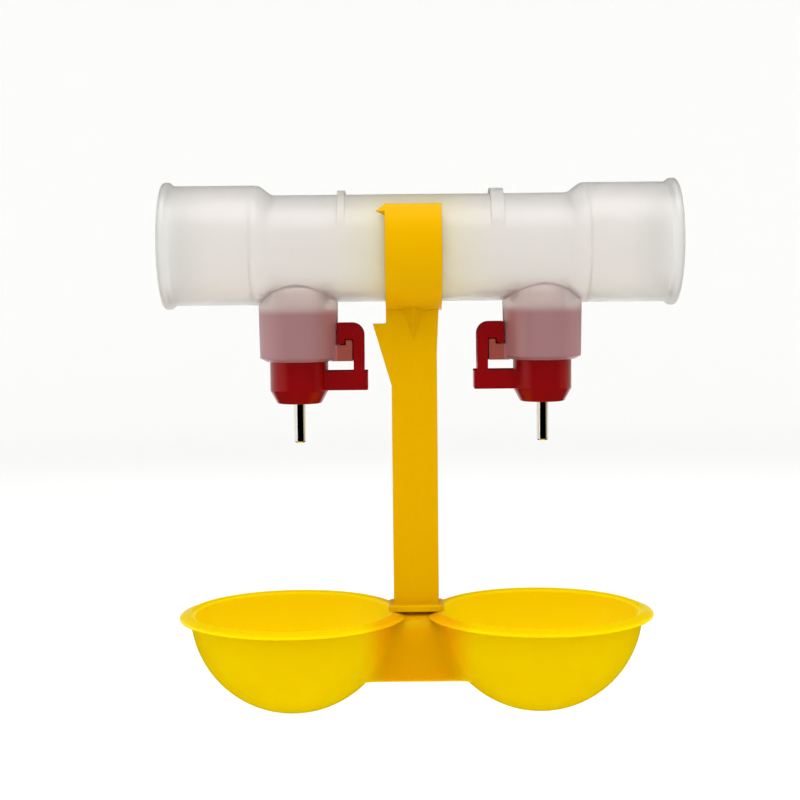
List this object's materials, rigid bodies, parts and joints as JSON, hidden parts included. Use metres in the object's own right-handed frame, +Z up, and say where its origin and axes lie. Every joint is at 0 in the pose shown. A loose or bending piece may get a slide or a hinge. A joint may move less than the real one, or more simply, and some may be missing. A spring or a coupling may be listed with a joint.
{
  "type": "poultry nipple drinker",
  "caption": "Poultry nipple drinker: translucent pipe tee with push-in red nipples and steel pins above a yellow clip-on arm with joined drip bowls.",
  "frame": {"origin": "under the middle of the supply tube, level with the undersides of the bowls", "axes": "+X along the tube towards the right socket, +Z up, +Y towards the back"},
  "size_m": [0.1234, 0.0556, 0.1293],
  "materials": {
    "translucent_polypropylene": "frosted, translucent",
    "yellow_plastic": "satin",
    "red_abs": "satin",
    "black_rubber": "matt",
    "white_plastic": "matt",
    "stainless_steel": "turned"
  },
  "bodies": {
    "tube": {"supply_tube": "translucent_polypropylene", "left_nipple_body": "red_abs", "left_body_o_ring": "black_rubber", "left_pin_seat": "stainless_steel", "left_seat_gasket": "black_rubber", "left_ball_seat": "stainless_steel", "left_ball_cage": "white_plastic", "right_nipple_body": "red_abs", "right_body_o_ring": "black_rubber", "right_pin_seat": "stainless_steel", "right_seat_gasket": "black_rubber", "right_ball_seat": "stainless_steel", "right_ball_cage": "white_plastic"},
    "drip_cup": {"hanger_arm": "yellow_plastic", "twin_bowl": "yellow_plastic"},
    "left_ball": {"left_valve_ball": "stainless_steel"},
    "left_pin": {"left_trigger_pin": "stainless_steel"},
    "right_ball": {"right_valve_ball": "stainless_steel"},
    "right_pin": {"right_trigger_pin": "stainless_steel"}
  },
  "joints": [
    {"name": "cup_swing", "type": "hinge", "parent": "tube", "child": "drip_cup", "pos_m": [0, 0, 0.11318], "axis": [1, 0, 0], "continuous": true},
    {"name": "left_valve_lift", "type": "slide", "parent": "tube", "child": "left_ball", "axis": [0, 0, 1], "range_m": [0, 0.0008]},
    {"name": "left_pin_tilt", "type": "hinge", "parent": "left_ball", "child": "left_pin", "pos_m": [-0.0295, 0, 0.08048], "axis": [0, 1, 0], "range_deg": [-10, 10]},
    {"name": "right_valve_lift", "type": "slide", "parent": "tube", "child": "right_ball", "axis": [0, 0, 1], "range_m": [0, 0.0008]},
    {"name": "right_pin_tilt", "type": "hinge", "parent": "right_ball", "child": "right_pin", "pos_m": [0.0295, 0, 0.08048], "axis": [0, 1, 0], "range_deg": [-10, 10]}
  ]
}
